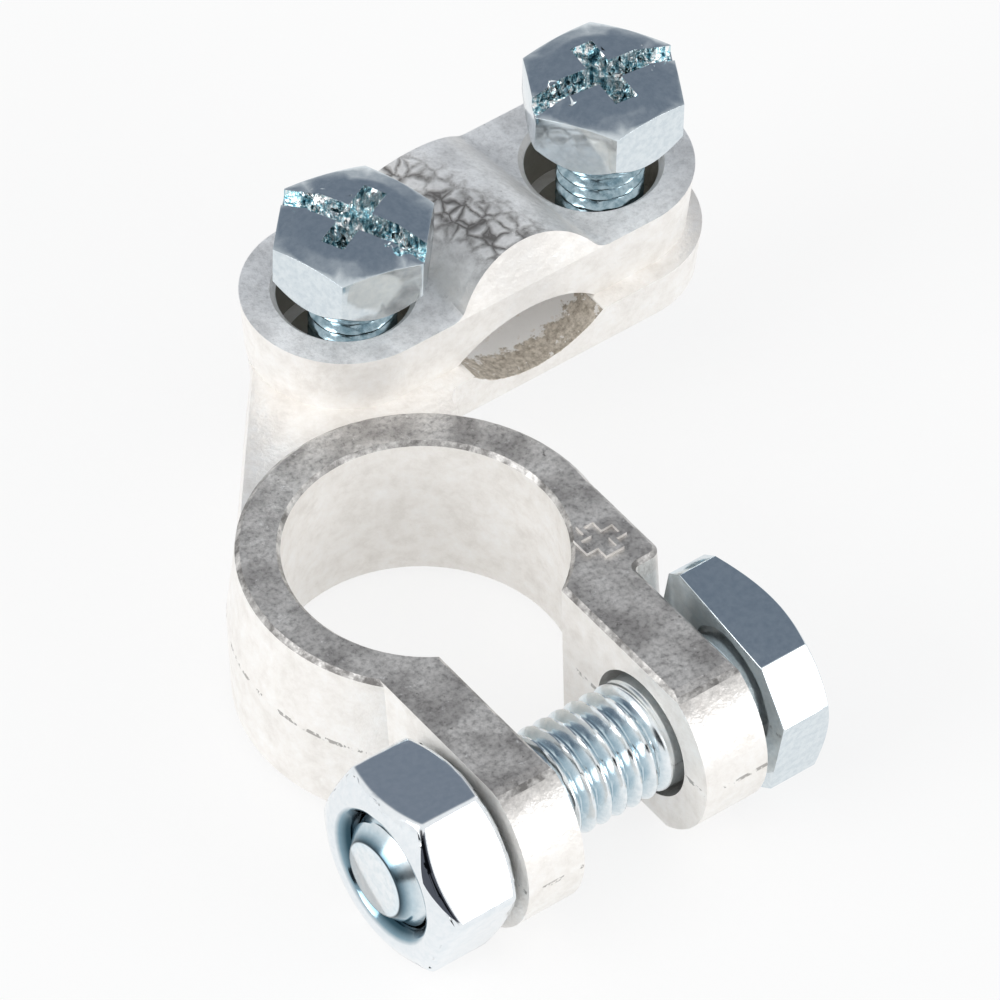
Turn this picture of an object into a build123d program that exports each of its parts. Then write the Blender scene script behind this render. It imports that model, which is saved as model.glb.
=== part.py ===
from build123d import *
from math import cos, radians, sin, sqrt, tan
import os

# Battery terminal clamp for a tapered post, with a bolted cable saddle.
# The casting is one piece: a split tapered ring, two ears for the pinch bolt,
# and a neck that carries the saddle base. The cable lies in the trough of the
# base, under the arch of a loose cap that two screws pull down.
#
# Frame: origin on the axis of the post bore, in the plane of the casting's
# lower faces. +Z runs up the post, +Y from the ears towards the cable saddle,
# +X along the pinch bolt towards its head. Lengths are in millimetres.
os.makedirs("parts", exist_ok=True)

# ---------------------------------------------------------------- post ring
ring_height = 12.6
post_radius_top = 9.5
post_taper_per_mm = 1 / 18  # 1:9 on the diameter
ring_wall = 3.0
wall_draft = 5.0  # degrees, from the parting line at mid height
lower_draft = 3.0  # degrees, on the lower half of the ring
gap_width = 10.0

# ---------------------------------------------------------------- ears
bolt_axis_y = -16.9
ear_tip_flat = 0.7  # the tip is rounded by this much more than half the height
left_ear_thickness = 4.5
right_ear_thickness = 5.0
pinch_hole_clearance = 0.6
shoulder_clearance = 1.1  # between the bolt head's flat and the shoulder
flank_inset = 0.1  # the flank lies this far inside the widest line of the ring's top
flank_corner_radius = 0.9
flank_root_radius = 0.4
cast_edge_bevel = 0.3
plus_size = 3.3  # raised outline of a plus sign on the ring
plus_arm_width = 1.5
plus_line_width = 0.35
plus_height = 0.25
plus_x = 9.7
plus_y = -6.1

# ---------------------------------------------------------------- saddle
saddle_screw_spacing = 20.7
left_screw_x = 7.3
saddle_y = 17.9
saddle_end_radius = 7.0
base_drop = 0.4  # the base lies this far below the top of the ring
base_thickness = 3.6
trough_depth = 2.4
trough_width = 10.8
neck_corner_radius = 1.5

cap_thickness = 4.7
arch_rise_front = 3.3  # the crest slopes down towards the back
arch_rise_back = 1.8
arch_inner_rise = 2.3
arch_width = 11.4
cap_shift_y = 1.0  # the loose cap has slid back on its screws
cap_hole_clearance = 1.55
arch_foot_radius = 1.5
arch_edge_draft = 20.0  # degrees, on the arch above the plate
cap_hole_bevel = 0.4

# ---------------------------------------------------------------- fasteners
pinch_bolt_diameter = 8.0
pinch_head_flats = 13.0
pinch_head_front_cut = 3.2  # corners cut off the square head
pinch_head_back_cut = 1.0
pinch_head_height = 4.2
pinch_face_inset = 0.1  # between the flats and the round outer face
pinch_head_gap = 1.3  # between the head and the right ear, before tightening
bolt_end_chamfer = 1.3
pinch_bolt_length = 28.0
nut_flats = 13.0
nut_height = 6.5
nut_face_share = 0.88  # of the width across flats, flat on each face
nut_gap = 0.3
nut_turn = 23.0  # degrees
head_turn = 9.0  # degrees, short of the flat that would lock on the shoulder
nut_mouth = 0.9
thread_clearance = 0.05

screw_diameter = 6.0
screw_hex_flats = 10.0
screw_head_height = 5.2
screw_face_radius = 3.9  # flat ring under the head
belly_radius = 5.0  # the underside of the head swells out in two slopes
belly_height = 0.45
belly_corner_height = 1.45
screw_length = 16.0
left_screw_gap = 2.3  # between the cap and the head
right_screw_gap = 3.8
left_screw_turn = -74.0  # degrees
right_screw_turn = -58.5
left_slot_turn = -65.0
right_slot_turn = -7.0
screw_end_chamfer = 0.9
slot_width = 1.5
slot_depth = 1.4
cross_width = 1.7
cross_length = 6.0
cross_depth = 3.0
cross_bottom_length = 3.0
cross_bottom_width = 1.2
crown_radius = 3.2  # flat middle of the crowned head
crown_drop = 0.85

# ---------------------------------------------------------------- worked out
half_height = ring_height / 2
bolt_axis_z = half_height
ear_tip_radius = half_height + ear_tip_flat
draft_step = half_height * tan(radians(wall_draft))
ring_radius_top = post_radius_top + ring_wall
ring_radius_mid = ring_radius_top + draft_step
ring_radius_low = ring_radius_mid - half_height * tan(radians(lower_draft))
post_radius_low = post_radius_top + ring_height * post_taper_per_mm

left_ear_face = -(gap_width / 2 + left_ear_thickness)
right_ear_face = gap_width / 2 + right_ear_thickness
ear_tip_y = bolt_axis_y - ear_tip_radius
shoulder_y = bolt_axis_y + pinch_head_flats / 2 + shoulder_clearance
flank_x = ring_radius_top - flank_inset

right_screw_x = left_screw_x + saddle_screw_spacing
saddle_middle_x = (left_screw_x + right_screw_x) / 2
base_top = ring_height - base_drop
base_bottom = base_top - base_thickness
saddle_front_y = saddle_y - saddle_end_radius
cap_top = base_top + cap_thickness
cap_y = saddle_y + cap_shift_y
trough_radius = ((trough_width / 2) ** 2 + trough_depth**2) / (2 * trough_depth)
trough_axis_z = base_top - trough_depth + trough_radius
cap_hole_radius = screw_diameter / 2 + cap_hole_clearance
screw_hole_radius = screw_diameter / 2 + thread_clearance
saddle_length = saddle_screw_spacing + 2 * saddle_end_radius
cut_margin = 1.0  # how far each cutting shape stands past the faces it cuts

# ================================================================ casting
# The wall of the ring is widest at the parting line, half way up, and drafts
# in above and below it. The bore follows the taper of the post.
with BuildPart() as ring:
    with BuildSketch(Plane.XZ):
        with BuildLine():
            Polyline(
                (0, 0),
                (ring_radius_low, 0),
                (ring_radius_mid, half_height),
                (ring_radius_top, ring_height),
                (0, ring_height),
                close=True,
            )
        make_face()
    revolve(axis=Axis.Z)

# The neck and the boss under the left screw stand the full height of the
# casting. The neck leaves the ring along a tangent on the outer side, and a
# small round fills the corner between the ring and the front of the base.
side_overlap = 0.25
boss_distance = sqrt(left_screw_x**2 + saddle_y**2)
boss_direction = Vector(left_screw_x, saddle_y) / boss_distance
side_lean = (ring_radius_mid - saddle_end_radius) / boss_distance
side_reach = sqrt(1 - side_lean**2)
side_normal = Vector(-boss_direction.Y, boss_direction.X) * side_reach + boss_direction * side_lean
ring_side = side_normal * (ring_radius_mid - side_overlap)
boss_side = Vector(left_screw_x, saddle_y) + side_normal * saddle_end_radius
neck_root = Vector(1, 1).normalized() * (post_radius_low + ring_radius_top) / 2
corner_y = saddle_front_y - neck_corner_radius
corner_x = sqrt((ring_radius_mid + neck_corner_radius) ** 2 - corner_y**2)

with BuildPart() as neck:
    for height in (base_top - half_height, -half_height):
        with BuildSketch(Plane.XY.offset(half_height)):
            with Locations((left_screw_x, saddle_y)):
                Circle(saddle_end_radius)
            with BuildLine():
                Polyline(
                    (ring_side.X, ring_side.Y),
                    (boss_side.X, boss_side.Y),
                    (left_screw_x, saddle_y),
                    (corner_x, saddle_front_y),
                    (corner_x, corner_y),
                    (neck_root.X, neck_root.Y),
                    close=True,
                )
            make_face()
        extrude(amount=height, taper=wall_draft)
    with Locations((corner_x, corner_y, half_height)):
        Cylinder(neck_corner_radius, 2 * ring_height, mode=Mode.SUBTRACT)

# The base plate of the saddle is a long oval that hangs free beyond the neck.
with BuildPart() as saddle_base:
    with BuildSketch(Plane.XY.offset(base_top)):
        with Locations((saddle_middle_x, saddle_y)):
            SlotOverall(saddle_length, 2 * saddle_end_radius)
    extrude(amount=-base_thickness, taper=wall_draft)

# Each ear is a plate across the bolt, rounded about the bolt's axis.
with BuildPart() as ears:
    with BuildSketch(Plane.YZ.offset(left_ear_face)):
        with Locations((bolt_axis_y, bolt_axis_z)):
            Circle(ear_tip_radius)
        with Locations((bolt_axis_y / 2, half_height)):
            Rectangle(-bolt_axis_y, ring_height)
        with Locations((ear_tip_y, half_height)):
            Rectangle(-2 * ear_tip_y, ring_height, mode=Mode.INTERSECT)
    extrude(amount=right_ear_face - left_ear_face)

# The right flank runs straight back from the ring and ends in a shoulder,
# which stops the head of the pinch bolt from turning.
with BuildPart() as flank:
    with BuildSketch(Plane.XZ):
        with BuildLine():
            Polyline(
                (0, 0),
                (flank_x, 0),
                (flank_x + draft_step, half_height),
                (flank_x, ring_height),
                (0, ring_height),
                close=True,
            )
        make_face()
    extrude(amount=-shoulder_y)
    corner = flank.edges().filter_by_position(Axis.Y, shoulder_y - 0.01, shoulder_y + 0.01)
    fillet(corner.filter_by_position(Axis.X, flank_x - 0.01, flank_x + 2 * draft_step), flank_corner_radius)

with BuildPart() as casting:
    add(ring.part)
    add(neck.part)
    add(saddle_base.part)
    add(ears.part)
    add(flank.part)

    # tapered post bore
    with Locations((0, 0, half_height)):
        Cone(
            post_radius_low + cut_margin * post_taper_per_mm,
            post_radius_top - cut_margin * post_taper_per_mm,
            ring_height + 2 * cut_margin,
            mode=Mode.SUBTRACT,
        )

    # gap between the ears
    with Locations((0, (ear_tip_y - cut_margin) / 2, half_height)):
        Box(gap_width, cut_margin - ear_tip_y, ring_height + 2 * cut_margin, mode=Mode.SUBTRACT)

    # clearance hole for the pinch bolt
    with Locations(Location((0, bolt_axis_y, bolt_axis_z), (0, 90, 0))):
        Cylinder(
            pinch_bolt_diameter / 2 + pinch_hole_clearance,
            4 * gap_width,
            mode=Mode.SUBTRACT,
        )

    # trough for the cable
    with Locations(Location((saddle_middle_x, saddle_y, trough_axis_z), (90, 0, 0))):
        Cylinder(trough_radius, 4 * saddle_end_radius, mode=Mode.SUBTRACT)

    # tapped holes for the two screws
    with Locations((left_screw_x, saddle_y, half_height), (right_screw_x, saddle_y, half_height)):
        Cylinder(screw_hole_radius, ring_height + 2 * cut_margin, mode=Mode.SUBTRACT)

    # softened edges, as the mould leaves them
    upright = casting.edges().filter_by(Axis.Z)
    fillet(upright.filter_by_position(Axis.X, right_ear_face - 0.01, right_ear_face + 0.01), flank_root_radius)
    rim = casting.edges().filter_by_position(Axis.Z, ring_height - 0.01, ring_height + 0.01)
    rim = rim.filter_by_position(Axis.X, left_ear_face + cut_margin, flank_x + cut_margin)
    chamfer(rim.filter_by(lambda edge: edge.length > 2 * flank_corner_radius), cast_edge_bevel)

    # raised plus sign
    with BuildSketch(Plane.XY.offset(ring_height)):
        with Locations((plus_x, plus_y)):
            Rectangle(plus_size, plus_arm_width)
            Rectangle(plus_arm_width, plus_size)
            with Locations((0, 0)):
                Rectangle(plus_size - 2 * plus_line_width, plus_arm_width - 2 * plus_line_width, mode=Mode.SUBTRACT)
                Rectangle(plus_arm_width - 2 * plus_line_width, plus_size - 2 * plus_line_width, mode=Mode.SUBTRACT)
    extrude(amount=plus_height)

casting.part.label = "terminal_body"
export_step(casting.part, "parts/terminal_body.step")

# ================================================================ saddle cap
# The cap is one thick plate that rises in a wave over the cable, higher at the
# front than at the back. Its ends are round like the base, its walls draft in
# towards the underside, and the arch leans in above the plate.
cap_draft_step = cap_thickness * tan(radians(wall_draft))
arch_radius = ((arch_width / 2) ** 2 + arch_rise_front**2) / (2 * arch_rise_front)
arch_inner_radius = ((arch_width / 2) ** 2 + arch_inner_rise**2) / (2 * arch_inner_rise)
arch_inner_axis_z = base_top + arch_inner_rise - arch_inner_radius
arch_start = Plane(
    origin=(saddle_middle_x, cap_y - saddle_end_radius, cap_top + arch_rise_front - arch_radius),
    x_dir=(1, 0, 0),
    z_dir=(0, 2 * saddle_end_radius, arch_rise_back - arch_rise_front),
)

with BuildPart() as cap_outline:
    with BuildSketch(Plane.XY.offset(base_top)):
        with Locations((saddle_middle_x, cap_y)):
            SlotOverall(saddle_length - 2 * cap_draft_step, 2 * (saddle_end_radius - cap_draft_step))
    extrude(amount=cap_thickness, taper=-wall_draft)
    with BuildSketch(Plane.XY.offset(cap_top)):
        with Locations((saddle_middle_x, cap_y)):
            SlotOverall(saddle_length, 2 * saddle_end_radius)
    extrude(amount=arch_rise_front + cut_margin, taper=arch_edge_draft)

with BuildPart() as cap:
    with BuildSketch(Plane.XY.offset(base_top)):
        with Locations((saddle_middle_x, cap_y)):
            Rectangle(2 * saddle_length, 4 * saddle_end_radius)
    extrude(amount=cap_thickness)
    with BuildSketch(arch_start):
        Circle(arch_radius)
    extrude(amount=4 * saddle_end_radius, both=True)
    with Locations((saddle_middle_x, cap_y, cap_top)):
        Box(2 * saddle_length, 2 * (saddle_end_radius + cut_margin), 4 * saddle_end_radius, mode=Mode.INTERSECT)
    feet = cap.edges().filter_by_position(Axis.Z, cap_top - 0.01, cap_top + 0.01).filter_by(GeomType.ELLIPSE)
    fillet(feet, arch_foot_radius)
    add(cap_outline.part, mode=Mode.INTERSECT)
    with Locations(Location((saddle_middle_x, cap_y, arch_inner_axis_z), (90, 0, 0))):
        Cylinder(arch_inner_radius, 4 * saddle_end_radius, mode=Mode.SUBTRACT)
    with Locations((left_screw_x, cap_y, cap_top), (right_screw_x, cap_y, cap_top)):
        Cylinder(cap_hole_radius, 4 * cap_thickness, mode=Mode.SUBTRACT)
    mouth_z = cap_top - cap_hole_bevel
    with Locations((left_screw_x, cap_y, mouth_z), (right_screw_x, cap_y, mouth_z)):
        Cone(cap_hole_radius - cut_margin, cap_hole_radius + cut_margin, 2 * cut_margin, mode=Mode.SUBTRACT)
cap.part.label = "cable_saddle"
export_step(cap.part, "parts/cable_saddle.step")

# ================================================================ cap screws
# Each screw has a hexagon head, crowned above and swelling out from a round
# face below, with a slot and a cross in its top. The thread is not cut here.
screw_corner_radius = screw_hex_flats / sqrt(3)

for screw_name, screw_x, head_gap, turn, slot_turn in (
    ("left_screw", left_screw_x, left_screw_gap, left_screw_turn, left_slot_turn),
    ("right_screw", right_screw_x, right_screw_gap, right_screw_turn, right_slot_turn),
):
    head_bottom = cap_top + head_gap
    head_top = head_bottom + screw_head_height
    under_head = Plane.XY.offset(head_bottom).shift_origin((screw_x, saddle_y, head_bottom))
    over_head = under_head.offset(screw_head_height)
    with BuildPart() as screw:
        with BuildSketch(under_head):
            RegularPolygon(screw_corner_radius, 6, rotation=turn)
        extrude(amount=screw_head_height)
        with BuildSketch(Plane.XZ.offset(-saddle_y)):
            with BuildLine():
                Polyline(
                    (screw_x, head_top),
                    (screw_x, head_bottom),
                    (screw_x + screw_face_radius, head_bottom),
                    (screw_x + belly_radius, head_bottom + belly_height),
                    (screw_x + screw_corner_radius, head_bottom + belly_corner_height),
                    (screw_x + screw_corner_radius, head_top - crown_drop),
                    (screw_x + crown_radius, head_top),
                    close=True,
                )
            make_face()
        revolve(axis=Axis((screw_x, saddle_y, 0), (0, 0, 1)), mode=Mode.INTERSECT)
        with BuildSketch(under_head):
            Circle(screw_diameter / 2)
        extrude(amount=-screw_length)
        chamfer(screw.edges().group_by(Axis.Z)[0], screw_end_chamfer)
        with BuildSketch(over_head):
            Rectangle(4 * screw_corner_radius, slot_width, rotation=slot_turn)
        extrude(amount=-slot_depth, mode=Mode.SUBTRACT)
        for cross_turn in (slot_turn, slot_turn + 90):
            with BuildSketch(over_head):
                Rectangle(cross_length, cross_width, rotation=cross_turn)
            with BuildSketch(over_head.offset(-cross_depth)):
                Rectangle(cross_bottom_length, cross_bottom_width, rotation=cross_turn)
            loft(mode=Mode.SUBTRACT)
    screw.part.label = screw_name
    export_step(screw.part, f"parts/{screw_name}.step")

# ================================================================ pinch bolt
# The bolt lies across the ears. Its head is square, with two corners cut well
# back to clear the hand, and is chamfered on the outer face. Its end stands
# just proud of the nut.
head_face_x = right_ear_face + pinch_head_gap
head_end_x = head_face_x + pinch_head_height
bolt_line = Axis((0, bolt_axis_y, bolt_axis_z), (1, 0, 0))
head_half = pinch_head_flats / 2
head_corner_radius = sqrt(2) * head_half
head_face_radius = head_half - pinch_face_inset
head_slope = tan(radians(30))
bolt_start = Plane(
    origin=(head_face_x, bolt_axis_y, bolt_axis_z),
    x_dir=(0, cos(radians(head_turn)), sin(radians(head_turn))),
    z_dir=(1, 0, 0),
)

with BuildPart() as bolt:
    with BuildSketch(bolt_start):
        head_outline = Rectangle(pinch_head_flats, pinch_head_flats)
        corners = head_outline.vertices().sort_by(Axis.X)
        chamfer(corners[:2], pinch_head_front_cut)
        chamfer(corners[2:], pinch_head_back_cut)
    extrude(amount=pinch_head_height)
    with BuildSketch(Plane.XZ.offset(-bolt_axis_y)):
        with BuildLine():
            Polyline(
                (head_face_x, bolt_axis_z),
                (head_face_x, bolt_axis_z + head_corner_radius),
                (
                    head_end_x - (head_corner_radius - head_face_radius) * head_slope,
                    bolt_axis_z + head_corner_radius,
                ),
                (head_end_x, bolt_axis_z + head_face_radius),
                (head_end_x, bolt_axis_z),
                close=True,
            )
        make_face()
    revolve(axis=bolt_line, mode=Mode.INTERSECT)
    with BuildSketch(bolt_start):
        Circle(pinch_bolt_diameter / 2)
    extrude(amount=-pinch_bolt_length)
    chamfer(bolt.edges().group_by(Axis.X)[0], bolt_end_chamfer)
bolt.part.label = "pinch_bolt"
export_step(bolt.part, "parts/pinch_bolt.step")

# ================================================================ pinch nut
# The nut is chamfered on both faces, and its thread opens in a mouth on the
# outer one.
nut_face_x = left_ear_face - nut_gap
nut_far_x = nut_face_x - nut_height
nut_start = Plane(origin=(nut_face_x, bolt_axis_y, bolt_axis_z), x_dir=(0, 1, 0), z_dir=(1, 0, 0))
nut_hole_radius = pinch_bolt_diameter / 2 + thread_clearance
nut_corner_radius = nut_flats / sqrt(3)
nut_face_radius = nut_face_share * nut_flats / 2
nut_chamfer = (nut_corner_radius - nut_face_radius) * tan(radians(30))

with BuildPart() as nut:
    with BuildSketch(nut_start):
        RegularPolygon(nut_corner_radius, 6, rotation=nut_turn + 30)
        Circle(nut_hole_radius, mode=Mode.SUBTRACT)
    extrude(amount=-nut_height)
    with BuildSketch(Plane.XZ.offset(-bolt_axis_y)):
        with BuildLine():
            Polyline(
                (nut_face_x, bolt_axis_z + nut_hole_radius - cut_margin),
                (nut_face_x, bolt_axis_z + nut_face_radius),
                (nut_face_x - nut_chamfer, bolt_axis_z + nut_corner_radius),
                (nut_far_x + nut_chamfer, bolt_axis_z + nut_corner_radius),
                (nut_far_x, bolt_axis_z + nut_face_radius),
                (nut_far_x, bolt_axis_z + nut_hole_radius - cut_margin),
                close=True,
            )
        make_face()
    revolve(axis=bolt_line, mode=Mode.INTERSECT)
    mouths = nut.edges().filter_by(GeomType.CIRCLE).filter_by(
        lambda e: abs(e.radius - nut_hole_radius) < 0.01
    )
    chamfer(mouths.sort_by(Axis.X)[0], nut_mouth)
nut.part.label = "pinch_nut"
export_step(nut.part, "parts/pinch_nut.step")
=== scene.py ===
import math

import bmesh
import bpy
from mathutils import Matrix, Vector, noise


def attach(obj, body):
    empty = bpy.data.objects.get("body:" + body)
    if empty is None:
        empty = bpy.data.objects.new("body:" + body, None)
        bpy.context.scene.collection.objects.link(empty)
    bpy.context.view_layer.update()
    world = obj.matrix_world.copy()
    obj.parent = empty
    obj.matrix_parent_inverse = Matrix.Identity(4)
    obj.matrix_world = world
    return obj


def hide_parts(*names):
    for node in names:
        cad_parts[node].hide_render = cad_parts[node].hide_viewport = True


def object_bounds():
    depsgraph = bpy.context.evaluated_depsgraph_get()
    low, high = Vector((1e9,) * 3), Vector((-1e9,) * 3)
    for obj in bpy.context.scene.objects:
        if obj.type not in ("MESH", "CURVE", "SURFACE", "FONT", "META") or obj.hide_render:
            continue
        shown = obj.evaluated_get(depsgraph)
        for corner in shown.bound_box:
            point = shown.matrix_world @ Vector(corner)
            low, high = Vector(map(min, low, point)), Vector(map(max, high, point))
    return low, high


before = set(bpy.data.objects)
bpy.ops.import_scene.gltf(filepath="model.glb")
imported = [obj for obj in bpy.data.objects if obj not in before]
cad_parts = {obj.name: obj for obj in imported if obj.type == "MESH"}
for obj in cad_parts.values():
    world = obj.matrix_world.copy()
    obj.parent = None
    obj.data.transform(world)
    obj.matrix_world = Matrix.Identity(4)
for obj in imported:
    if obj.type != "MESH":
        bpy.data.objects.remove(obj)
cad_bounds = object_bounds()
MM = 0.001

# ---------------------------------------------------------------- terminal body
# The clamp's main piece is one casting: the split ring for the battery post, the
# two ears of the pinch bolt, and the neck with the base of the cable saddle.
# It is brass, pressure cast in a two-part mould, trimmed, and tin plated.
WHITE = (1, 1, 1, 1)
BLACK = (0, 0, 0, 1)
parting_height = 6.3 * MM
trough_axis = Vector((17.65, 0, 17.075)) * MM
trough_radius = 7.275 * MM


def linear(code):
    """Turns an sRGB hex colour into linear values."""
    parts = [int(code[i : i + 2], 16) / 255 for i in (0, 2, 4)]
    return tuple(c / 12.92 if c <= 0.04045 else ((c + 0.055) / 1.055) ** 2.4 for c in parts) + (1.0,)


def add(tree, kind, inputs=None, stops=None, **settings):
    """Adds a node with its settings, and fills its inputs with values or links.
    Stops are the (position, colour) pairs of a colour ramp."""
    made = tree.nodes.new(kind)
    for name, value in settings.items():
        setattr(made, name, value)
    for key, value in (inputs or {}).items():
        if isinstance(value, bpy.types.NodeSocket):
            tree.links.new(value, made.inputs[key])
        else:
            made.inputs[key].default_value = value
    if stops:
        elements = made.color_ramp.elements
        while len(elements) < len(stops):
            elements.new(0.5)
        for element, (position, colour) in zip(elements, stops):
            element.position = position
            element.color = colour
    return made


def per(size_mm):
    """The texture scale that gives features of this size, in millimetres."""
    return 1 / (size_mm * MM)


def tinned_casting(name, top_shade_tone, speckle, metallic, top_shade_reach, holes_y, hole_low, crackle=False):
    """Tin plate over as-cast brass: a pale warm skin that keeps the mould's fine
    grain. The trimmed upper faces carry a painted shade that makes them greyer, and are speckled; the walls are near
    white.
    The screw holes get painted shade inside. A worn trough with a painted highlight at its back,
    rims whose dark specks also paint shade, a dotted parting line, crackled plating and
    a painted shade band along the arch's front edge are masked in where they belong."""
    material = bpy.data.materials.new(name)
    material.use_nodes = True
    tree = material.node_tree
    tree.nodes.clear()
    coords = add(tree, "ShaderNodeTexCoord")
    place = coords.outputs["Object"]
    at = add(tree, "ShaderNodeSeparateXYZ", {0: place})
    facing = add(tree, "ShaderNodeSeparateXYZ", {0: coords.outputs["Normal"]})

    grain = add(tree, "ShaderNodeTexNoise", {"Vector": place, "Scale": per(0.42), "Detail": 3, "Roughness": 0.6})
    lumps = add(tree, "ShaderNodeTexNoise", {"Vector": place, "Scale": per(2.6), "Detail": 2})
    stains = add(tree, "ShaderNodeTexNoise", {"Vector": place, "Scale": per(1.7), "Detail": 6, "Roughness": 0.72})
    specks = add(tree, "ShaderNodeTexNoise", {"Vector": place, "Scale": per(0.9), "Detail": 4, "Roughness": 0.7})

    tone = add(
        tree,
        "ShaderNodeValToRGB",
        {"Fac": stains.outputs["Fac"]},
        stops=[(0.3, linear("e9e5e0")), (0.5, linear("f5f2ee")), (0.7, linear("fbfaf8"))],
    )
    pepper = add(tree, "ShaderNodeTexNoise", {"Vector": place, "Scale": per(0.38), "Detail": 4, "Roughness": 0.7})
    peppered = add(
        tree,
        "ShaderNodeValToRGB",
        {"Fac": pepper.outputs["Fac"]},
        stops=[(0.32, linear("b9b9b9")), (0.48, linear("e9e9e9")), (0.62, WHITE)],
    )
    flecks = add(tree, "ShaderNodeTexNoise", {"Vector": place, "Scale": per(0.8), "Detail": 7, "Roughness": 0.8})
    fleck = add(
        tree, "ShaderNodeMapRange", {"Value": flecks.outputs["Fac"], "From Min": 0.6, "From Max": 0.68, "To Max": 0.75}
    )
    stained = add(
        tree,
        "ShaderNodeValToRGB",
        {"Fac": lumps.outputs["Fac"]},
        stops=[(0.36, linear("c6c5c5")), (0.62, WHITE)],
    )
    speck = add(
        tree,
        "ShaderNodeValToRGB",
        {"Fac": specks.outputs["Fac"]},
        stops=[(0.27, linear("6a6664")), (0.36, WHITE)],
    )
    # the trimmed faces that look up carry a painted shade that makes them greyer than the walls, with grey and white
    # flecks of grain
    upward = add(tree, "ShaderNodeMapRange", {"Value": facing.outputs["Z"], "From Min": 0.6, "From Max": 0.93})
    behind = add(tree, "ShaderNodeMath", {0: at.outputs["Y"], 1: 0.0}, operation="MAXIMUM")
    off_ring = add(
        tree,
        "ShaderNodeVectorMath",
        {0: add(tree, "ShaderNodeCombineXYZ", {"X": at.outputs["X"], "Y": behind.outputs[0]}).outputs[0]},
        operation="LENGTH",
    )
    reached = add(tree, "ShaderNodeMath", {0: off_ring.outputs["Value"], 1: top_shade_reach}, operation="LESS_THAN")
    top_shade_mask = add(
        tree, "ShaderNodeMath", {0: upward.outputs["Result"], 1: reached.outputs[0]}, operation="MULTIPLY"
    )
    # painted shade: the tone of the upward faces, darker than the near-white walls
    top_shade_and_grain = linear(top_shade_tone)
    for layer in (peppered, speck, stained):
        top_shade_and_grain = add(
            tree,
            "ShaderNodeMix",
            {0: speckle, 6: top_shade_and_grain, 7: layer.outputs["Color"]},
            data_type="RGBA",
            blend_type="MULTIPLY",
        ).outputs[2]
    top_shade_and_grain = add(
        tree, "ShaderNodeMix", {0: fleck.outputs["Result"], 6: top_shade_and_grain, 7: linear("f4f3f2")}, data_type="RGBA"
    ).outputs[2]
    colour = add(
        tree,
        "ShaderNodeMix",
        {0: top_shade_mask.outputs[0], 6: tone.outputs["Color"], 7: top_shade_and_grain},
        data_type="RGBA",
    ).outputs[2]

    # the bevelled rims are broken up by dark and pale specks; the dark specks also paint shade along the rim
    rim_low = add(tree, "ShaderNodeMath", {0: at.outputs["Z"], 1: 12.22 * MM}, operation="GREATER_THAN")
    rim_high = add(tree, "ShaderNodeMath", {0: at.outputs["Z"], 1: 12.62 * MM}, operation="LESS_THAN")
    slanted = add(tree, "ShaderNodeMath", {0: facing.outputs["Z"], 1: 0.7, 2: 0.25}, operation="COMPARE")
    rim = add(tree, "ShaderNodeMath", {0: rim_low.outputs[0], 1: rim_high.outputs[0]}, operation="MULTIPLY")
    rim = add(tree, "ShaderNodeMath", {0: rim.outputs[0], 1: slanted.outputs[0]}, operation="MULTIPLY")
    rim_specks_and_shade = add(
        tree,
        "ShaderNodeValToRGB",
        {"Fac": stains.outputs["Fac"]},
        stops=[(0.4, linear("716f6d")), (0.52, linear("b0aeac")), (0.62, linear("d9d7d4"))],
    )
    colour = add(
        tree, "ShaderNodeMix", {0: rim.outputs[0], 6: colour, 7: rim_specks_and_shade.outputs["Color"]}, data_type="RGBA"
    ).outputs[2]

    # little light gets into the clearance round the two screws
    for hole_x in saddle_holes_x:
        arm = add(
            tree,
            "ShaderNodeVectorMath",
            {
                0: add(tree, "ShaderNodeCombineXYZ", {"X": at.outputs["X"], "Y": at.outputs["Y"]}).outputs[0],
                1: (hole_x, holes_y, 0),
            },
            operation="DISTANCE",
        )
        ringed = add(tree, "ShaderNodeMath", {0: arm.outputs["Value"], 1: 4.62 * MM}, operation="LESS_THAN")
        deep = add(tree, "ShaderNodeMath", {0: at.outputs["Z"], 1: hole_low}, operation="LESS_THAN")
        inside = add(tree, "ShaderNodeMath", {0: ringed.outputs[0], 1: deep.outputs[0]}, operation="MULTIPLY")
        colour = add(
            tree, "ShaderNodeMix", {0: inside.outputs[0], 6: colour, 7: linear("a5a196")}, data_type="RGBA"
        ).outputs[2]

    # dotted parting line, half way up the walls
    above = add(tree, "ShaderNodeMath", {0: at.outputs["Z"], 1: parting_height}, operation="SUBTRACT")
    near = add(tree, "ShaderNodeMath", {0: above.outputs[0]}, operation="ABSOLUTE")
    on_line = add(tree, "ShaderNodeMath", {0: near.outputs[0], 1: 0.16 * MM}, operation="LESS_THAN")
    dotted = add(tree, "ShaderNodeMath", {0: specks.outputs["Fac"], 1: 0.53}, operation="GREATER_THAN")
    line = add(tree, "ShaderNodeMath", {0: on_line.outputs[0], 1: dotted.outputs[0]}, operation="MULTIPLY")
    from_axis = add(
        tree,
        "ShaderNodeVectorMath",
        {0: add(tree, "ShaderNodeCombineXYZ", {"X": at.outputs["X"], "Y": at.outputs["Y"]}).outputs[0]},
        operation="LENGTH",
    )
    outside = add(tree, "ShaderNodeMath", {0: from_axis.outputs["Value"], 1: 11.0 * MM}, operation="GREATER_THAN")
    line = add(tree, "ShaderNodeMath", {0: line.outputs[0], 1: outside.outputs[0]}, operation="MULTIPLY")
    line_share = add(tree, "ShaderNodeMath", {0: line.outputs[0], 1: 0.6}, operation="MULTIPLY")
    colour = add(
        tree,
        "ShaderNodeMix",
        {0: line_share.outputs[0], 6: colour, 7: linear("54504c")},
        data_type="RGBA",
    ).outputs[2]
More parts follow.
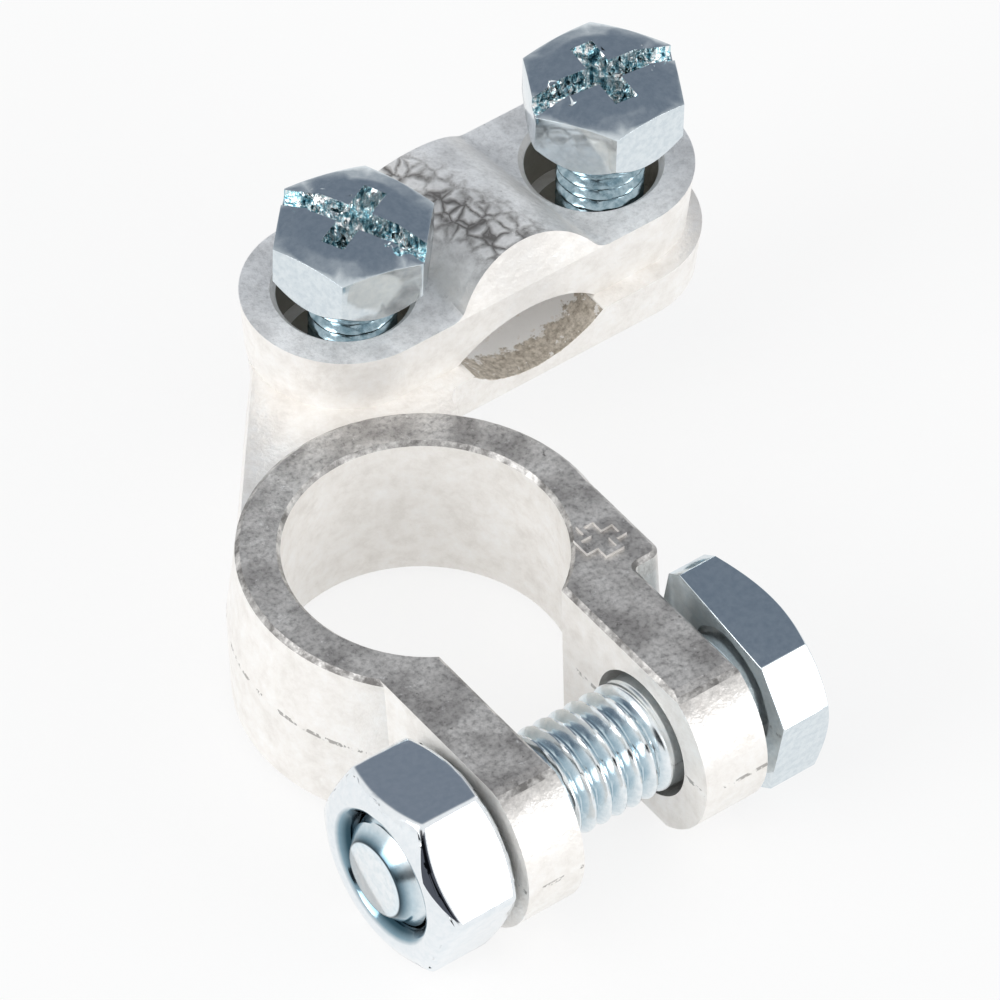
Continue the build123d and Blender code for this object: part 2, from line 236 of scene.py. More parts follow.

    # the trough is painted bright at the back as a painted highlight, and is bare and brown towards the front
    flat = add(tree, "ShaderNodeCombineXYZ", {"X": at.outputs["X"], "Z": at.outputs["Z"]})
    reach = add(
        tree, "ShaderNodeVectorMath", {0: flat.outputs[0], 1: tuple(trough_axis)}, operation="DISTANCE"
    )
    wave = add(tree, "ShaderNodeMath", {0: specks.outputs["Fac"], 1: 0.5 * MM}, operation="MULTIPLY")
    edge = add(tree, "ShaderNodeMath", {0: reach.outputs["Value"], 1: wave.outputs[0]}, operation="ADD")
    in_trough = add(
        tree,
        "ShaderNodeMath",
        {0: edge.outputs[0], 1: trough_radius + 0.3 * MM},
        operation="LESS_THAN",
    )
    low = add(tree, "ShaderNodeMath", {0: at.outputs["Z"], 1: 12.15 * MM}, operation="LESS_THAN")
    trough_wear_and_highlight = add(tree, "ShaderNodeMath", {0: in_trough.outputs[0], 1: low.outputs[0]}, operation="MULTIPLY")
    brown = add(
        tree,
        "ShaderNodeValToRGB",
        {"Fac": pepper.outputs["Fac"]},
        stops=[(0.35, linear("a3998b")), (0.6, linear("e0d8cc"))],
    )
    teeth = add(tree, "ShaderNodeMath", {0: specks.outputs["Fac"], 1: 3.4 * MM}, operation="MULTIPLY")
    depth = add(tree, "ShaderNodeMath", {0: at.outputs["Y"], 1: teeth.outputs[0]}, operation="ADD")
    # painted highlight: the back of the trough is painted white
    back = add(
        tree, "ShaderNodeMapRange", {"Value": depth.outputs[0], "From Min": 14.9 * MM, "From Max": 15.2 * MM}
    )
    wear_and_highlight = add(
        tree,
        "ShaderNodeMix",
        {0: back.outputs["Result"], 6: brown.outputs["Color"], 7: WHITE},
        data_type="RGBA",
    )
    colour = add(
        tree,
        "ShaderNodeMix",
        {0: trough_wear_and_highlight.outputs[0], 6: colour, 7: wear_and_highlight.outputs[2]},
        data_type="RGBA",
    ).outputs[2]

    grain_bump = add(
        tree,
        "ShaderNodeBump",
        {"Height": grain.outputs["Fac"], "Strength": 0.8, "Distance": 0.09 * MM},
    )
    lump_bump = add(
        tree,
        "ShaderNodeBump",
        {
            "Height": lumps.outputs["Fac"],
            "Strength": 0.4,
            "Distance": 0.4 * MM,
            "Normal": grain_bump.outputs["Normal"],
        },
    )
    normal = lump_bump.outputs["Normal"]

    if crackle:
        # pale pebbles of plating in a grey net, in a band along the crest of the arch
        wobble = add(tree, "ShaderNodeTexNoise", {"Vector": place, "Scale": per(1.4), "Detail": 2})
        shove = add(tree, "ShaderNodeVectorMath", {0: wobble.outputs["Color"], 3: 0.9 * MM}, operation="SCALE")
        bent = add(tree, "ShaderNodeVectorMath", {0: place, 1: shove.outputs[0]}, operation="ADD")
        spots = add(tree, "ShaderNodeMapping", {"Vector": bent.outputs[0], "Scale": (1, 0.8, 0.4)})
        cells = add(
            tree,
            "ShaderNodeTexVoronoi",
            {"Vector": spots.outputs[0], "Scale": per(1.0)},
            feature="DISTANCE_TO_EDGE",
        )
        # the crest runs back and slightly to the left
        crest = add(
            tree, "ShaderNodeMath", {0: at.outputs["Y"], 1: 0.2, 2: -19.8 * MM}, operation="MULTIPLY_ADD"
        )
        aside = add(tree, "ShaderNodeMath", {0: at.outputs["X"], 1: crest.outputs[0]}, operation="ADD")
        away = add(tree, "ShaderNodeMath", {0: aside.outputs[0]}, operation="ABSOLUTE")
        ragged = add(tree, "ShaderNodeMath", {0: flecks.outputs["Fac"], 1: 5 * MM}, operation="MULTIPLY")
        spread = add(tree, "ShaderNodeMath", {0: away.outputs[0], 1: ragged.outputs[0]}, operation="ADD")
        within = add(
            tree,
            "ShaderNodeMapRange",
            {
                "Value": spread.outputs[0],
                "From Min": 3.4 * MM,
                "From Max": 5.9 * MM,
                "To Min": 1.0,
                "To Max": 0.0,
            },
        )
        net = add(
            tree,
            "ShaderNodeMapRange",
            {"Value": cells.outputs["Distance"], "From Min": 0.02, "From Max": 0.24, "To Min": 1.0, "To Max": 0.0},
        )
        uneven = add(
            tree, "ShaderNodeMapRange", {"Value": stains.outputs["Fac"], "From Min": 0.3, "From Max": 0.46}
        )
        share = add(
            tree, "ShaderNodeMath", {0: net.outputs["Result"], 1: within.outputs["Result"]}, operation="MULTIPLY"
        )
        share = add(
            tree, "ShaderNodeMath", {0: share.outputs[0], 1: uneven.outputs["Result"]}, operation="MULTIPLY"
        )
        share = add(
            tree, "ShaderNodeMath", {0: share.outputs[0], 1: upward.outputs["Result"]}, operation="MULTIPLY"
        )
        band = add(tree, "ShaderNodeMath", {0: within.outputs["Result"], 1: 0.4}, operation="MULTIPLY")
        colour = add(
            tree, "ShaderNodeMix", {0: band.outputs[0], 6: colour, 7: linear("d8d5d2")}, data_type="RGBA"
        ).outputs[2]
        colour = add(
            tree, "ShaderNodeMix", {0: share.outputs[0], 6: colour, 7: linear("73706e")}, data_type="RGBA"
        ).outputs[2]
        # a dark band of painted shade runs along the front edge of the arch
        lip = add(
            tree,
            "ShaderNodeMath",
            {0: stains.outputs["Fac"], 1: -2.4 * MM, 2: at.outputs["Y"]},
            operation="MULTIPLY_ADD",
        )
        at_lip = add(
            tree, "ShaderNodeMapRange", {"Value": lip.outputs[0], "From Min": 11.6 * MM, "From Max": 12.3 * MM}
        )
        at_lip = add(tree, "ShaderNodeMath", {0: 1.0, 1: at_lip.outputs["Result"]}, operation="SUBTRACT")
        left_side = add(
            tree,
            "ShaderNodeMapRange",
            {"Value": at.outputs["X"], "From Min": 17 * MM, "From Max": 22 * MM, "To Min": 0.55, "To Max": 0.0},
        )
        raised = add(tree, "ShaderNodeMath", {0: at.outputs["Z"], 1: 17.2 * MM}, operation="GREATER_THAN")
        lip_shade = add(
            tree, "ShaderNodeMath", {0: at_lip.outputs[0], 1: left_side.outputs["Result"]}, operation="MULTIPLY"
        )
        lip_shade = add(
            tree, "ShaderNodeMath", {0: lip_shade.outputs[0], 1: raised.outputs[0]}, operation="MULTIPLY"
        )
        lip_shade = add(
            tree, "ShaderNodeMath", {0: lip_shade.outputs[0], 1: upward.outputs["Result"]}, operation="MULTIPLY"
        )
        colour = add(
            tree, "ShaderNodeMix", {0: lip_shade.outputs[0], 6: colour, 7: linear("5f5d5c")}, data_type="RGBA"
        ).outputs[2]
        height = add(tree, "ShaderNodeMath", {0: share.outputs[0], 1: -1.0}, operation="MULTIPLY")
        normal = add(
            tree,
            "ShaderNodeBump",
            {"Height": height.outputs[0], "Strength": 0.6, "Distance": 0.12 * MM, "Normal": normal},
        ).outputs["Normal"]

    rough = add(
        tree,
        "ShaderNodeMapRange",
        {"Value": stains.outputs["Fac"], "From Min": 0.3, "From Max": 0.7, "To Min": 0.42, "To Max": 0.3},
    )
    shader = add(
        tree,
        "ShaderNodeBsdfPrincipled",
        {"Base Color": colour, "Metallic": metallic, "Roughness": rough.outputs["Result"], "Normal": normal},
    )
    add(tree, "ShaderNodeOutputMaterial", {"Surface": shader.outputs["BSDF"]})
    return material


def dress(node_name, material):
    """Gives a CAD node one material in every slot."""
    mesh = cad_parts[node_name].data
    mesh.materials.clear()
    mesh.materials.append(material)


saddle_holes_x = (7.3 * MM, 28.0 * MM)
base_holes_y = 17.9 * MM
dress("terminal_body", tinned_casting("tinned_brass_casting", "d6d3d0", 1.0, 0.4, 12.55 * MM, base_holes_y, 12.3 * MM))

# ---------------------------------------------------------------- cable saddle
# The loose cap of the saddle is cast and plated like the body. It slides on the
# two screws and presses the cable into the trough. The plating on its arch has
# crackled.
cap_holes_y = 18.9 * MM
cap_inside = 16.4 * MM
dress("cable_saddle", tinned_casting("tinned_brass_cap", "fdfeff", 0.5, 0.2, 1.0, cap_holes_y, cap_inside, crackle=True))

# ---------------------------------------------------------------- saddle screws
# Two M6 screws with crowned hexagon heads, cold headed with a slot and a cross,
# and a rolled thread. They are steel, plated with zinc and passivated, which
# leaves a bright skin with a cool blue tint.
bolt_y = -16.9 * MM
bolt_z = 6.3 * MM
saddle_y = 17.9 * MM
saddle_screws = (("left_screw", 7.3 * MM, 19.2 * MM), ("right_screw", 28.0 * MM, 20.7 * MM))
screw_head_height = 5.2 * MM
screw_radius = 3.0 * MM
screw_length = 16.0 * MM
screw_pitch = 1.0 * MM
screw_thread_depth = 0.5 * MM
screw_neck = 0.7 * MM
screw_lead = 0.9 * MM
edge_round = 0.16 * MM
torn_reach = 3.1 * MM


def zinc_plate(name, tones, rough_from, rough_to, dent, streaks=0, painted_light_rings=None, reflection_stripe=None):
    """Blue-passivated zinc on steel: mirror-like, with faint hammer marks and haze.
    Streaks, when given, are torn furrows that run down the walls of a recess, coloured
    in dark teal and white as painted glints and painted shade. Painted light rings, when given
    as (radius in mm, sRGB code) stops, paint shade and reflections on the piece by its
    distance from the axis of the pinch bolt. A reflection stripe, when given as the angle of
    one of the nut's flats, paints a dark reflection on the outer chamfer along that flat."""
    material = bpy.data.materials.new(name)
    material.use_nodes = True
    tree = material.node_tree
    tree.nodes.clear()
    place = add(tree, "ShaderNodeTexCoord").outputs["Object"]
    dents = add(tree, "ShaderNodeTexNoise", {"Vector": place, "Scale": per(2.4), "Detail": 1})
    haze = add(tree, "ShaderNodeTexNoise", {"Vector": place, "Scale": per(0.5), "Detail": 4, "Roughness": 0.6})
    tone = add(
        tree,
        "ShaderNodeValToRGB",
        {"Fac": haze.outputs["Fac"]},
        stops=[(0.34, linear(tones[0])), (0.62, linear(tones[1]))],
    )
    rough = add(
        tree,
        "ShaderNodeMapRange",
        {
            "Value": haze.outputs["Fac"],
            "From Min": 0.3,
            "From Max": 0.7,
            "To Min": rough_from,
            "To Max": rough_to,
        },
    )
    colour = tone.outputs["Color"]
    # painted shade and painted reflections in rings round the pinch bolt's axis
    if painted_light_rings:
        at = add(tree, "ShaderNodeSeparateXYZ", {0: place})
        across_axis = add(tree, "ShaderNodeCombineXYZ", {"Y": at.outputs["Y"], "Z": at.outputs["Z"]})
        arm = add(
            tree,
            "ShaderNodeVectorMath",
            {0: across_axis.outputs[0], 1: (0, bolt_y, bolt_z)},
            operation="DISTANCE",
        )
        widest = painted_light_rings[-1][0]
        spot = add(tree, "ShaderNodeMath", {0: arm.outputs["Value"], 1: widest * MM}, operation="DIVIDE")
        ring = add(
            tree,
            "ShaderNodeValToRGB",
            {"Fac": spot.outputs[0]},
            stops=[(radius / widest, linear(code)) for radius, code in painted_light_rings],
        )
        colour = add(
            tree,
            "ShaderNodeMix",
            {0: 1.0, 6: colour, 7: ring.outputs["Color"]},
            data_type="RGBA",
            blend_type="MULTIPLY",
        ).outputs[2]
    if reflection_stripe:
        # painted reflection: a dark band on the nut's outer chamfer along one flat
        centred = add(
            tree, "ShaderNodeVectorMath", {0: across_axis.outputs[0], 1: (0, bolt_y, bolt_z)}, operation="SUBTRACT"
        )
        outward = (0, math.cos(math.radians(reflection_stripe)), math.sin(math.radians(reflection_stripe)))
        along = (0, -outward[2], outward[1])
        out = add(tree, "ShaderNodeVectorMath", {0: centred.outputs[0], 1: outward}, operation="DOT_PRODUCT")
        side = add(tree, "ShaderNodeVectorMath", {0: centred.outputs[0], 1: along}, operation="DOT_PRODUCT")
        side = add(tree, "ShaderNodeMath", {0: side.outputs["Value"]}, operation="ABSOLUTE")
        # the stripe is widest in the middle of the flat and thins out at its corners
        inner = add(
            tree, "ShaderNodeMapRange", {"Value": side.outputs[0], "From Max": 3.4 * MM, "To Min": 5.7 * MM, "To Max": 6.5 * MM}
        )
        past = add(
            tree, "ShaderNodeMath", {0: out.outputs["Value"], 1: inner.outputs["Result"]}, operation="GREATER_THAN"
        )
        short = add(tree, "ShaderNodeMath", {0: out.outputs["Value"], 1: 6.47 * MM}, operation="LESS_THAN")
        front = add(tree, "ShaderNodeMath", {0: at.outputs["X"], 1: -14.8 * MM}, operation="LESS_THAN")
        dark = add(tree, "ShaderNodeMath", {0: past.outputs[0], 1: short.outputs[0]}, operation="MULTIPLY")
        dark = add(tree, "ShaderNodeMath", {0: dark.outputs[0], 1: front.outputs[0]}, operation="MULTIPLY")
        dark = add(tree, "ShaderNodeMath", {0: dark.outputs[0], 1: 0.93}, operation="MULTIPLY")
        colour = add(
            tree, "ShaderNodeMix", {0: dark.outputs[0], 6: colour, 7: linear("2b3242")}, data_type="RGBA"
        ).outputs[2]
    normal = add(
        tree,
        "ShaderNodeBump",
        {"Height": dents.outputs["Fac"], "Strength": 0.3, "Distance": dent * MM},
    ).outputs["Normal"]
    # painted glints and painted shade: the furrows are coloured from dark teal to white
    if streaks:
        stretched = add(tree, "ShaderNodeMapping", {"Vector": place, "Scale": (1, 1, 0.15)})
        furrows_and_glints = add(
            tree, "ShaderNodeTexNoise", {"Vector": stretched.outputs[0], "Scale": per(0.34), "Detail": 3}
        )
        colour = add(
            tree,
            "ShaderNodeValToRGB",
            {"Fac": furrows_and_glints.outputs["Fac"]},
            stops=[
                (0.36, linear("527887")),
                (0.43, linear("9fcad5")),
                (0.5, linear("dbeff3")),
                (0.55, WHITE),
            ],
        ).outputs["Color"]
        normal = add(
            tree,
            "ShaderNodeBump",
            {"Height": furrows_and_glints.outputs["Fac"], "Strength": 0.8, "Distance": streaks * MM, "Normal": normal},
        ).outputs["Normal"]
    shader = add(
        tree,
        "ShaderNodeBsdfPrincipled",
        {
            "Base Color": colour,
            "Metallic": 1.0,
            "Roughness": rough.outputs["Result"],
            "Normal": normal,
        },
    )
    add(tree, "ShaderNodeOutputMaterial", {"Surface": shader.outputs["BSDF"]})
    return material


zinc = zinc_plate("blue_zinc_plated_steel", ("d3dde3", "e2eaee"), 0.09, 0.14, 0.22)
# painted shade: a darker copy of the zinc for the screw threads, which sit under the heads and in the holes
shaded_screw_thread_zinc = zinc_plate("blue_zinc_on_screw_thread_painted_shade", ("76909b", "a9bdc6"), 0.16, 0.2, 0.0)
torn_zinc_with_glints = zinc_plate("torn_zinc_in_recess_painted_glints", ("b9dbe3", "eef8fa"), 0.12, 0.24, 0.1, streaks=0.15)


def rolled_thread():
    """A node tree that rolls a grid into a threaded rod along +Z from the origin.
    The radius follows a blunt V along a right-handed helix. It starts with a plain
    neck and ends in a bevelled lead, and both ends are closed."""
    tree = bpy.data.node_groups.new("rolled_thread", "GeometryNodeTree")
    for label, kind in (
        ("Length", "NodeSocketFloat"),
        ("Radius", "NodeSocketFloat"),
        ("Depth", "NodeSocketFloat"),
        ("Pitch", "NodeSocketFloat"),
        ("Neck", "NodeSocketFloat"),
        ("Lead", "NodeSocketFloat"),
        ("Rings", "NodeSocketInt"),
        ("Segments", "NodeSocketInt"),
        ("Material", "NodeSocketMaterial"),
    ):
        tree.interface.new_socket(label, in_out="INPUT", socket_type=kind)
    tree.interface.new_socket("Geometry", in_out="OUTPUT", socket_type="NodeSocketGeometry")
    given = add(tree, "NodeGroupInput").outputs
    grid = add(
        tree,
        "GeometryNodeMeshGrid",
        {"Size X": 1.0, "Size Y": 1.0, "Vertices X": given["Rings"], "Vertices Y": given["Segments"]},
    )
    where = add(tree, "ShaderNodeSeparateXYZ", {0: add(tree, "GeometryNodeInputPosition").outputs[0]})

    def sum_up(operation, first, second=0.0, third=0.0, clamp=False):
        inputs = {0: first, 1: second, 2: third}
        return add(tree, "ShaderNodeMath", inputs, operation=operation, use_clamp=clamp).outputs[0]

    # height along the rod, with one ring to spare at each end for the caps
    inner_rings = sum_up("SUBTRACT", given["Rings"], 3.0)
    step = sum_up("DIVIDE", given["Length"], inner_rings)
    reach = sum_up("MULTIPLY_ADD", step, 2.0, given["Length"])
    along = sum_up("ADD", where.outputs["X"], 0.5)
    raw = sum_up("SUBTRACT", sum_up("MULTIPLY", along, reach), step)
    height = sum_up("MINIMUM", sum_up("MAXIMUM", raw, 0.0), given["Length"])

    # blunt V round the helix
    round_share = sum_up("ADD", where.outputs["Y"], 0.5)
    phase = sum_up("FRACT", sum_up("ADD", sum_up("DIVIDE", height, given["Pitch"]), round_share))
    fall = sum_up("MULTIPLY", sum_up("ABSOLUTE", sum_up("SUBTRACT", phase, 0.5)), 2.0)
    blunt = sum_up("MULTIPLY_ADD", fall, 1.3, -0.15, clamp=True)
    started = sum_up("DIVIDE", sum_up("SUBTRACT", height, given["Neck"]), given["Pitch"], clamp=True)
    cut = sum_up("MULTIPLY", sum_up("MULTIPLY", blunt, started), given["Depth"])
    threaded = sum_up("SUBTRACT", given["Radius"], cut)

    # bevelled lead, and closed ends
    tip_radius = sum_up("SUBTRACT", given["Radius"], given["Lead"])
    bevel = sum_up("ADD", tip_radius, sum_up("SUBTRACT", given["Length"], height))
    outline = sum_up("MINIMUM", threaded, bevel)
    open_ring = sum_up("LESS_THAN", sum_up("ABSOLUTE", where.outputs["X"]), 0.4999)
    radius = sum_up("MULTIPLY", outline, open_ring)
    angle = sum_up("MULTIPLY", round_share, -math.tau)
    rolled = add(
        tree,
        "ShaderNodeCombineXYZ",
        {
            "X": sum_up("MULTIPLY", radius, sum_up("COSINE", angle)),
            "Y": sum_up("MULTIPLY", radius, sum_up("SINE", angle)),
            "Z": height,
        },
    )
    placed = add(tree, "GeometryNodeSetPosition", {"Geometry": grid.outputs["Mesh"], "Position": rolled.outputs[0]})
    welded = add(tree, "GeometryNodeMergeByDistance", {"Geometry": placed.outputs[0], "Distance": 0.002 * MM})
    real = add(tree, "GeometryNodeRealizeInstances", {"Geometry": welded.outputs[0]})
    dressed = add(tree, "GeometryNodeSetMaterial", {"Geometry": real.outputs[0], "Material": given["Material"]})
    add(tree, "NodeGroupOutput", {"Geometry": dressed.outputs[0]})
    return tree


thread_tree = rolled_thread()


def thread_mesh(name, sizes):
    """Runs the thread tree with the given sizes, and returns a plain mesh."""
    maker = bpy.data.objects.new(name, bpy.data.meshes.new(name))
    bpy.context.scene.collection.objects.link(maker)
    modifier = maker.modifiers.new("thread", "NODES")
    modifier.node_group = thread_tree
    for item in thread_tree.interface.items_tree:
        if item.item_type == "SOCKET" and item.in_out == "INPUT":
            modifier[item.identifier] = sizes[item.name]
    maker.update_tag()
    graph = bpy.context.evaluated_depsgraph_get()
    mesh = bpy.data.meshes.new_from_object(maker.evaluated_get(graph))
    maker.modifiers.clear()
    bpy.data.objects.remove(maker)
    return mesh


def off_axis(point, centre, away):
    """Distance of a point from the axis through the centre."""
    arm = point - centre
    return (arm - away * arm.dot(away)).length


def round_edges(bm, size, clamp=True):
    """Merges flat faces and rounds every sharp edge. Without the clamp, short edges
    elsewhere don't hold the rounding back."""
    bmesh.ops.dissolve_limit(bm, angle_limit=math.radians(0.6), verts=bm.verts, edges=bm.edges)
    bm.normal_update()
    sharp = [e for e in bm.edges if len(e.link_faces) == 2 and e.calc_face_angle(0) > math.radians(20)]
    bmesh.ops.bevel(bm, geom=sharp, offset=size, segments=3, profile=0.5, affect="EDGES", clamp_overlap=clamp)
    bmesh.ops.triangulate(bm, faces=[f for f in bm.faces if len(f.verts) > 4])
    bmesh.ops.recalc_face_normals(bm, faces=bm.faces)
    bm.normal_update()


def tear_recess(bm, centre, away, reach, head_height):
    """Widens the slot and the cross unevenly, and ploughs furrows down their walls."""

    def in_recess(face):
        middle = face.calc_center_median()
        depth = (middle - centre).dot(-away)
        if not 0.6 * MM < depth < head_height - 0.08 * MM:
            return False
        wall = abs(face.normal.dot(away)) < 0.8 and abs((middle - centre).dot(face.normal)) < reach
        floor_face = face.normal.dot(-away) > 0.8 and depth < head_height - 1.2 * MM
        return wall or floor_face

    for _ in range(6):
        torn = [f for f in bm.faces if in_recess(f)]
        long_edges = {e for f in torn for e in f.edges if e.calc_length() > 0.26 * MM}
        bmesh.ops.subdivide_edges(bm, edges=list(long_edges), cuts=1)
        bmesh.ops.triangulate(bm, faces=[f for f in bm.faces if len(f.verts) > 3])
        bm.normal_update()
    torn = [f for f in bm.faces if in_recess(f)]
    targets = {}
    for vertex in {v for f in torn for v in f.verts}:
        rim = off_axis(vertex.co, centre, away)
        hold = max(0.0, min(1.0, (4.5 * MM - rim) / (0.5 * MM)))
        column = Vector((vertex.co.x, vertex.co.y, vertex.co.z * 0.2))
        furrow = noise.noise_vector(column * per(0.42)) * 0.3 * MM
        tear = noise.noise_vector(vertex.co * per(0.9)) * 0.5 * MM
        tear.z *= 0.35
        widen = -vertex.normal * (0.38 * MM) if abs(vertex.normal.dot(away)) < 0.75 else Vector()
        moved = vertex.co + (furrow + tear + widen) * hold
        over = (moved - centre).dot(-away) - head_height
        targets[vertex] = moved + away * max(0.0, over)
    for vertex, place in targets.items():
        vertex.co = place
    for face in torn:
        face.material_index = 1


def finished_piece(node_name, bm, materials):
    """Turns the working mesh into the piece that stands for a CAD node."""
    for face in bm.faces:
        face.smooth = face.material_index != 1
    mesh = bpy.data.meshes.new(node_name + "_finished")
    bm.to_mesh(mesh)
    bm.free()
    for material in materials:
        mesh.materials.append(material)
    mesh.set_sharp_from_angle(angle=math.radians(24))
    piece = bpy.data.objects.new(node_name + "_finished", mesh)
    bpy.context.scene.collection.objects.link(piece)
    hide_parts(node_name)
    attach(piece, node_name)


def merged_copy(node_name):
    """A working copy of a CAD node's mesh, with its doubled corners merged."""
    bm = bmesh.new()
    bm.from_mesh(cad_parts[node_name].data)
    bmesh.ops.remove_doubles(bm, verts=bm.verts, dist=0.0005 * MM)
    bm.normal_update()
    return bm


def without_shank(bm, centre, away, radius):
    """Takes the plain shank off at the head, and closes the head."""
    shank = [
        face
        for face in bm.faces
        if all(
            off_axis(v.co, centre, away) < radius + 0.02 * MM and (v.co - centre).dot(away) > -0.01 * MM
            for v in face.verts
        )
    ]
    bmesh.ops.delete(bm, geom=shank, context="FACES")
    bmesh.ops.holes_fill(bm, edges=[e for e in bm.edges if e.is_boundary], sides=0)


def join_rod(bm, rod, slot):
    """Sets the threaded rod into the head, with the material of this slot."""
    count = len(bm.faces)
    bm.from_mesh(rod)
    bm.faces.ensure_lookup_table()
    for face in bm.faces[count:]:
        face.material_index = slot


for screw_name, screw_x, head_bottom in saddle_screws:
    rod = thread_mesh(
        screw_name + "_rod",
        {
            "Length": screw_length + 1.0 * MM,
            "Radius": screw_radius,
            "Depth": screw_thread_depth,
            "Pitch": screw_pitch,
            "Neck": screw_neck + 1.0 * MM,
            "Lead": screw_lead,
            "Rings": 190,
            "Segments": 49,
            "Material": shaded_screw_thread_zinc,
        },
    )
    head_centre = Vector((screw_x, saddle_y, head_bottom))
    start = head_centre + Vector((0, 0, 1.0 * MM))
    rod.transform(Matrix.Translation(start) @ Matrix.Rotation(math.pi, 4, "X"))
    downward = Vector((0, 0, -1))
    screw = merged_copy(screw_name)
    without_shank(screw, head_centre, downward, screw_radius)
    round_edges(screw, edge_round)
    tear_recess(screw, head_centre, downward, torn_reach, screw_head_height)
    join_rod(screw, rod, 2)
    finished_piece(screw_name, screw, (zinc, torn_zinc_with_glints, shaded_screw_thread_zinc))

# ---------------------------------------------------------------- pinch bolt
# An M8 bolt that pulls the ears together. Its head is square, with two corners
# cut well back, and it is zinc plated like the screws. The thread stops short
# of the head.
bolt_head_x = 11.3 * MM
bolt_radius = 4.0 * MM
bolt_length = 28.0 * MM
bolt_pitch = 1.25 * MM
bolt_thread_depth = 0.68 * MM
bolt_neck = 6.6 * MM
bolt_lead = 1.3 * MM
# painted reflection at the bolt's end: a white disc ringed by a dark band on its chamfer
bolt_thread_zinc = zinc_plate(
    "blue_zinc_on_bolt_thread",
    ("e4ecf0", "f3f7f9"),
    0.16,
    0.22,
    0.0,
    painted_light_rings=((2.0, "ffffff"), (2.6, "f4fbff"), (2.72, "33434c"), (2.95, "7e95a1"), (3.3, "cfdde4"), (4.0, "ffffff")),
)

rod = thread_mesh(
    "bolt_rod",
    {
        "Length": bolt_length + 1.0 * MM,
        "Radius": bolt_radius,
        "Depth": bolt_thread_depth,
        "Pitch": bolt_pitch,
        "Neck": bolt_neck + 1.0 * MM,
        "Lead": bolt_lead,
        "Rings": 280,
        "Segments": 57,
        "Material": bolt_thread_zinc,
    },
)
head_centre = Vector((bolt_head_x, bolt_y, bolt_z))
start = head_centre + Vector((1.0 * MM, 0, 0))
rod.transform(Matrix.Translation(start) @ Matrix.Rotation(-math.pi / 2, 4, "Y"))
leftward = Vector((-1, 0, 0))
bolt = merged_copy("pinch_bolt")
without_shank(bolt, head_centre, leftward, bolt_radius)
round_edges(bolt, edge_round)
join_rod(bolt, rod, 1)
finished_piece("pinch_bolt", bolt, (zinc, bolt_thread_zinc))

# ---------------------------------------------------------------- pinch nut
# A hexagon nut, chamfered on both faces, of the same plated steel, with well
# rounded edges. Its mouth carries painted shade round the end of the bolt.
nut_round = 0.34 * MM
# painted shade in the mouth round the bolt, and a painted dark reflection on one outer chamfer
nut_zinc = zinc_plate(
    "zinc_plated_nut",
    ("e9eff3", "f1f5f8"),
    0.09,
    0.15,
    0.3,
    painted_light_rings=((3.9, "20303a"), (4.35, "3a5561"), (4.7, "8fa9b5"), (5.0, "ffffff"), (8.0, "ffffff")),
    reflection_stripe=143,
)
nut = merged_copy("pinch_nut")
round_edges(nut, nut_round, clamp=False)
finished_piece("pinch_nut", nut, (nut_zinc,))

# ---------------------------------------------------------------- floor
# A plain pale table under the clamp.
floor_z = cad_bounds[0][2]
floor_size = 4.0
floor_mesh = bpy.data.meshes.new("floor")
half = floor_size / 2
floor_mesh.from_pydata(
    [(-half, -half, floor_z), (half, -half, floor_z), (half, half, floor_z), (-half, half, floor_z)],
    [],
    [(0, 1, 2, 3)],
)
floor = bpy.data.objects.new("floor", floor_mesh)
bpy.context.scene.collection.objects.link(floor)
paper = bpy.data.materials.new("white_paper")
paper.use_nodes = True
tree = paper.node_tree
tree.nodes.clear()
matt = add(tree, "ShaderNodeBsdfDiffuse", {"Color": linear("f4f4f3")})
glow = add(tree, "ShaderNodeEmission", {"Color": WHITE, "Strength": 1.0})
path = add(tree, "ShaderNodeLightPath")
seen = add(
    tree,
    "ShaderNodeMath",
    {0: path.outputs["Is Camera Ray"], 1: path.outputs["Is Glossy Ray"]},
    operation="MAXIMUM",
)
share = add(tree, "ShaderNodeMath", {0: seen.outputs[0], 1: 0.8}, operation="MULTIPLY")
cover = add(tree, "ShaderNodeMixShader", {0: share.outputs[0], 1: matt.outputs[0], 2: glow.outputs[0]})
add(tree, "ShaderNodeOutputMaterial", {"Surface": cover.outputs[0]})
floor_mesh.materials.append(paper)

# ---------------------------------------------------------------- light
# A bright studio room with one large grey flag behind and above the clamp, which
# the upward faces mirror, a narrow black one low at the left, and soft boxes at
# the left and in front.
room_white = 0.92
flag_direction = Vector((0.43, 0.54, 0.72)).normalized()
narrow_direction = Vector((-0.71, -0.68, 0.19)).normalized()
world = bpy.data.worlds.new("studio")
bpy.context.scene.world = world
world.use_nodes = True
tree = world.node_tree
tree.nodes.clear()
direction = add(tree, "ShaderNodeTexCoord").outputs["Generated"]
toward = add(tree, "ShaderNodeVectorMath", {0: direction, 1: tuple(flag_direction)}, operation="DOT_PRODUCT")
flag = add(
    tree,
    "ShaderNodeMapRange",
    {"Value": toward.outputs["Value"], "From Min": 0.62, "From Max": 0.9},
    interpolation_type="SMOOTHSTEP",
)
room = add(
    tree,
    "ShaderNodeMix",
    {0: flag.outputs["Result"], 6: (room_white, room_white, room_white, 1), 7: linear("7b8490")},
    data_type="RGBA",
)
aside = add(tree, "ShaderNodeVectorMath", {0: direction, 1: tuple(narrow_direction)}, operation="DOT_PRODUCT")
narrow = add(
    tree,
    "ShaderNodeMapRange",
    {"Value": aside.outputs["Value"], "From Min": 0.9, "From Max": 0.95},
    interpolation_type="SMOOTHSTEP",
)
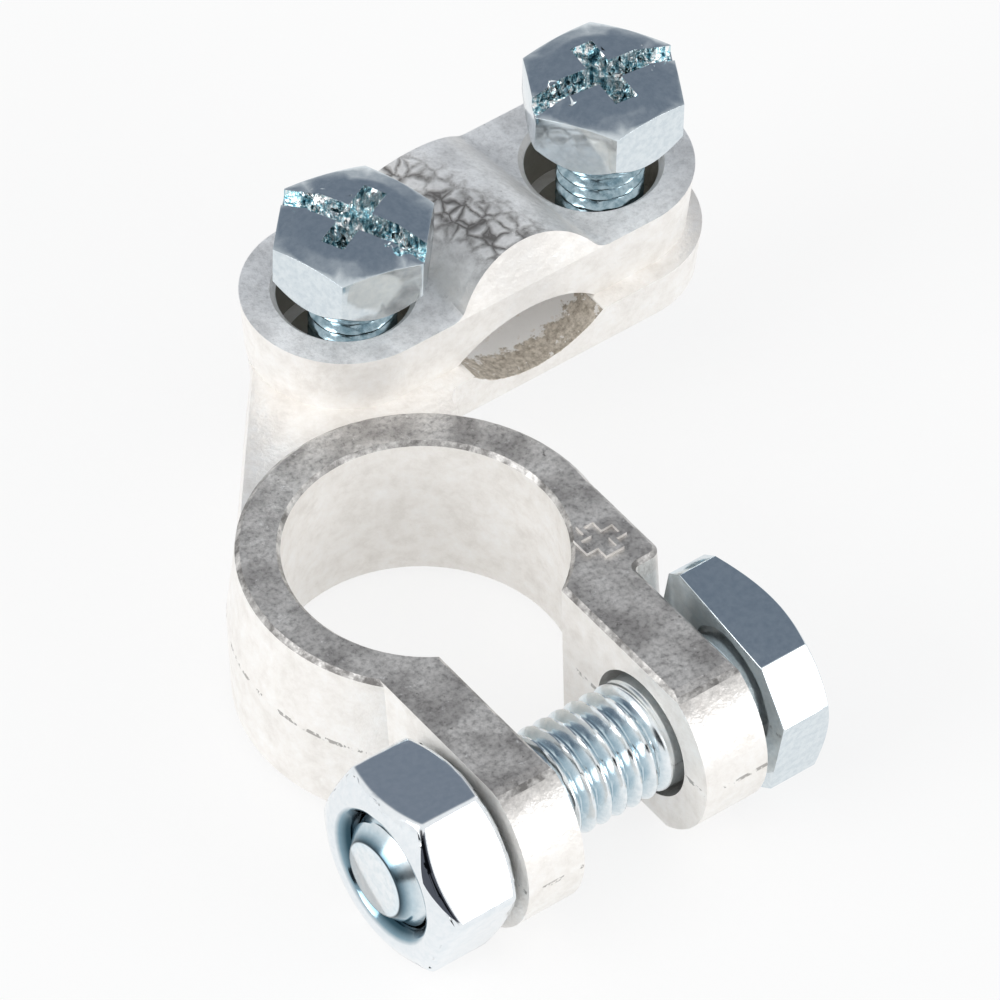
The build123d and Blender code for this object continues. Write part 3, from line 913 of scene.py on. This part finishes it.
room = add(
    tree,
    "ShaderNodeMix",
    {0: narrow.outputs["Result"], 6: room.outputs[2], 7: linear("2a2c30")},
    data_type="RGBA",
)
sky = add(tree, "ShaderNodeBackground", {"Color": room.outputs[2], "Strength": 1.0})
add(tree, "ShaderNodeOutputWorld", {"Surface": sky.outputs[0]})


def soft_box(name, place, aim, width, height, watts):
    """A rectangular area lamp at a place, turned towards a point. Metres and watts."""
    lamp = bpy.data.lights.new(name, "AREA")
    lamp.shape = "RECTANGLE"
    lamp.size = width
    lamp.size_y = height
    lamp.energy = watts
    made = bpy.data.objects.new(name, lamp)
    towards = Vector(aim) - Vector(place)
    made.rotation_euler = towards.to_track_quat("-Z", "Y").to_euler()
    made.location = place
    bpy.context.scene.collection.objects.link(made)
    return made


soft_box("left_box", (-1.0, 0.1, 0.55), (0, 0, 0), 0.6, 0.6, 5)
soft_box("front_box", (0.5, -1.0, 0.4), (0, 0, 0), 0.7, 0.5, 4)

# ---------------------------------------------------------------- camera
# A long lens from the left of the ears, looking down at about 46 degrees.
yaw = math.radians(38.3)
pitch = math.radians(46.3)
roll = math.radians(-1.6)
distance = 0.71995
focal_pixels = 11000
aim_pixel = (425.74, 547.39)
aim_point = Vector((0, 0, 12.6 * MM))

forward = Vector((math.sin(yaw) * math.cos(pitch), math.cos(yaw) * math.cos(pitch), -math.sin(pitch)))
level = Vector((math.cos(yaw), -math.sin(yaw), 0))
down = forward.cross(level)
across = level * math.cos(roll) + down * math.sin(roll)
below = down * math.cos(roll) - level * math.sin(roll)
offset = (
    across * ((aim_pixel[0] - 500) / focal_pixels * distance)
    + below * ((aim_pixel[1] - 500) / focal_pixels * distance)
    + forward * distance
)
lens = bpy.data.cameras.new("camera")
lens.sensor_width = 36
lens.lens = focal_pixels * 36 / 1000
lens.clip_start = 0.05
camera = bpy.data.objects.new("camera", lens)
camera.matrix_world = Matrix.Translation(aim_point - offset) @ Matrix((across, -below, -forward)).transposed().to_4x4()
bpy.context.scene.collection.objects.link(camera)
bpy.context.scene.camera = camera
bpy.context.scene.view_settings.view_transform = "Standard"
